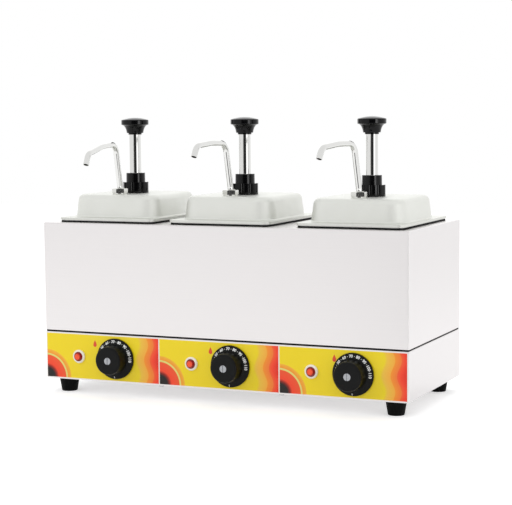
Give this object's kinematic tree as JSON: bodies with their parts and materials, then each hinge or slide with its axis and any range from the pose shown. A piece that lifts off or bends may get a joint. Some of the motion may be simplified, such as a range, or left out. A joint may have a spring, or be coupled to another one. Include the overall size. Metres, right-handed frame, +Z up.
{
  "type": "topping warmer",
  "caption": "Countertop hot fudge warmer: steel cabinet with inset pans, lift-off pump lids with swivel spouts, and a dial and pilot lamp for each well.",
  "frame": {"origin": "on the floor under the middle of the bounding box", "axes": "+Z up, the control panel faces -Y, +X to the right as seen from the front"},
  "size_m": [0.59, 0.3072, 0.4223],
  "materials": {
    "casing_steel": "satin",
    "label_film": "gloss",
    "foot_rubber": "matte",
    "screw_steel": "satin",
    "heater_plate": "matte",
    "wool": "matte",
    "thermostat_case": "matte",
    "bezel_plastic": "gloss",
    "lens_plastic": "gloss",
    "gland_plastic": "satin",
    "terminal_plastic": "satin",
    "well_steel": "satin",
    "lid_steel": "satin",
    "polished_steel": "polished",
    "spring_steel": "satin",
    "pump_plastic": "gloss",
    "piston_rubber": "matte",
    "dial_plastic": "satin"
  },
  "bodies": {
    "housing": {"upper_casing": "casing_steel", "base_casing": "casing_steel", "base_back": "casing_steel", "base_shelf": "casing_steel", "bottom_plate": "casing_steel", "control_labels": "label_film", "feet": "foot_rubber", "machine_screws": "screw_steel", "well_heaters": "heater_plate", "insulation": "wool", "thermostats": "thermostat_case", "lamp_bezels": "bezel_plastic", "lamp_lenses": "lens_plastic", "cable_gland": "gland_plastic", "terminal_block": "terminal_plastic", "well_1": "well_steel", "well_2": "well_steel", "well_3": "well_steel"},
    "pan_unit_1": {"pan_1": "well_steel"},
    "lid_unit_1": {"lid_1": "lid_steel", "pump_cylinder_1": "polished_steel", "lock_collar_1": "pump_plastic", "guide_bush_1": "pump_plastic", "valve_block_1": "polished_steel", "pump_spring_1": "spring_steel", "spout_nut_1": "polished_steel"},
    "plunger_1": {"piston_1": "piston_rubber", "plunger_tube_1": "polished_steel", "pump_knob_1": "pump_plastic"},
    "spout_unit_1": {"spout_1": "polished_steel"},
    "dial_1": {"dial_knob_1": "dial_plastic", "dial_screw_1": "polished_steel"},
    "pan_unit_2": {"pan_2": "well_steel"},
    "lid_unit_2": {"lid_2": "lid_steel", "pump_cylinder_2": "polished_steel", "lock_collar_2": "pump_plastic", "guide_bush_2": "pump_plastic", "valve_block_2": "polished_steel", "pump_spring_2": "spring_steel", "spout_nut_2": "polished_steel"},
    "plunger_2": {"piston_2": "piston_rubber", "plunger_tube_2": "polished_steel", "pump_knob_2": "pump_plastic"},
    "spout_unit_2": {"spout_2": "polished_steel"},
    "dial_2": {"dial_knob_2": "dial_plastic", "dial_screw_2": "polished_steel"},
    "pan_unit_3": {"pan_3": "well_steel"},
    "lid_unit_3": {"lid_3": "lid_steel", "pump_cylinder_3": "polished_steel", "lock_collar_3": "pump_plastic", "guide_bush_3": "pump_plastic", "valve_block_3": "polished_steel", "pump_spring_3": "spring_steel", "spout_nut_3": "polished_steel"},
    "plunger_3": {"piston_3": "piston_rubber", "plunger_tube_3": "polished_steel", "pump_knob_3": "pump_plastic"},
    "spout_unit_3": {"spout_3": "polished_steel"},
    "dial_3": {"dial_knob_3": "dial_plastic", "dial_screw_3": "polished_steel"}
  },
  "joints": [
    {"name": "pan_lift_1", "type": "slide", "parent": "housing", "child": "pan_unit_1", "axis": [0, 0, 1], "range_m": [0, 0.16]},
    {"name": "lid_lift_1", "type": "slide", "parent": "pan_unit_1", "child": "lid_unit_1", "axis": [0, 0, 1], "range_m": [0, 0.15]},
    {"name": "plunger_press_1", "type": "slide", "parent": "lid_unit_1", "child": "plunger_1", "axis": [0, 0, 1], "range_m": [-0.056, 0], "stiffness_N_per_m": 300, "springref_m": 0.03, "deforming": ["pump_spring_1"]},
    {"name": "spout_swivel_1", "type": "hinge", "parent": "lid_unit_1", "child": "spout_unit_1", "pos_m": [-0.20042, -0.0402, 0.3043], "axis": [0, 0, 1], "range_deg": [-40, 40]},
    {"name": "dial_turn_1", "type": "hinge", "parent": "housing", "child": "dial_1", "pos_m": [-0.1714, -0.11367, 0.0583], "axis": [0, 1, 0], "range_deg": [0, 270]},
    {"name": "pan_lift_2", "type": "slide", "parent": "housing", "child": "pan_unit_2", "axis": [0, 0, 1], "range_m": [0, 0.16]},
    {"name": "lid_lift_2", "type": "slide", "parent": "pan_unit_2", "child": "lid_unit_2", "axis": [0, 0, 1], "range_m": [0, 0.15]},
    {"name": "plunger_press_2", "type": "slide", "parent": "lid_unit_2", "child": "plunger_2", "axis": [0, 0, 1], "range_m": [-0.056, 0], "stiffness_N_per_m": 300, "springref_m": 0.03, "deforming": ["pump_spring_2"]},
    {"name": "spout_swivel_2", "type": "hinge", "parent": "lid_unit_2", "child": "spout_unit_2", "pos_m": [-0.01092, -0.0402, 0.3043], "axis": [0, 0, 1], "range_deg": [-40, 40]},
    {"name": "dial_turn_2", "type": "hinge", "parent": "housing", "child": "dial_2", "pos_m": [0.0206, -0.11367, 0.0583], "axis": [0, 1, 0], "range_deg": [0, 270]},
    {"name": "pan_lift_3", "type": "slide", "parent": "housing", "child": "pan_unit_3", "axis": [0, 0, 1], "range_m": [0, 0.16]},
    {"name": "lid_lift_3", "type": "slide", "parent": "pan_unit_3", "child": "lid_unit_3", "axis": [0, 0, 1], "range_m": [0, 0.15]},
    {"name": "plunger_press_3", "type": "slide", "parent": "lid_unit_3", "child": "plunger_3", "axis": [0, 0, 1], "range_m": [-0.056, 0], "stiffness_N_per_m": 300, "springref_m": 0.03, "deforming": ["pump_spring_3"]},
    {"name": "spout_swivel_3", "type": "hinge", "parent": "lid_unit_3", "child": "spout_unit_3", "pos_m": [0.19458, -0.0402, 0.3043], "axis": [0, 0, 1], "range_deg": [-40, 40]},
    {"name": "dial_turn_3", "type": "hinge", "parent": "housing", "child": "dial_3", "pos_m": [0.2126, -0.11367, 0.0583], "axis": [0, 1, 0], "range_deg": [0, 270]}
  ]
}
